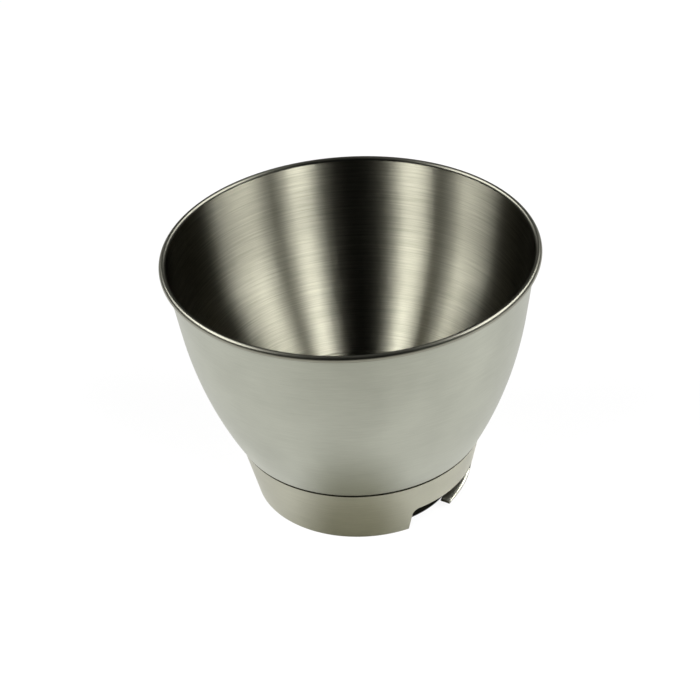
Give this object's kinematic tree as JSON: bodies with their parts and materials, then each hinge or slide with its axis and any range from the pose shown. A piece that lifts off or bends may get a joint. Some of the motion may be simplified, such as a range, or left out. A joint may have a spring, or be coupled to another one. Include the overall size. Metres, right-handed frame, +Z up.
{
  "type": "stand mixer bowl",
  "caption": "Deep stainless steel mixing bowl with a rolled rim on a conical base ring that locks to a mixer by a bayonet.",
  "frame": {"origin": "centre of the base ring's lower edge, in the plane that the bowl stands on", "axes": "+Z up along the bowl's axis, -Y towards the viewer of the picture, with the visible notch of the ring between -Y and +X"},
  "size_m": [0.23, 0.23, 0.167],
  "materials": {
    "shell_steel": "fine circumferential brush lines",
    "ring_steel": "fine circumferential brush lines"
  },
  "bodies": {
    "root": {"bowl_shell": "shell_steel", "base_ring": "ring_steel"}
  },
  "joints": []
}
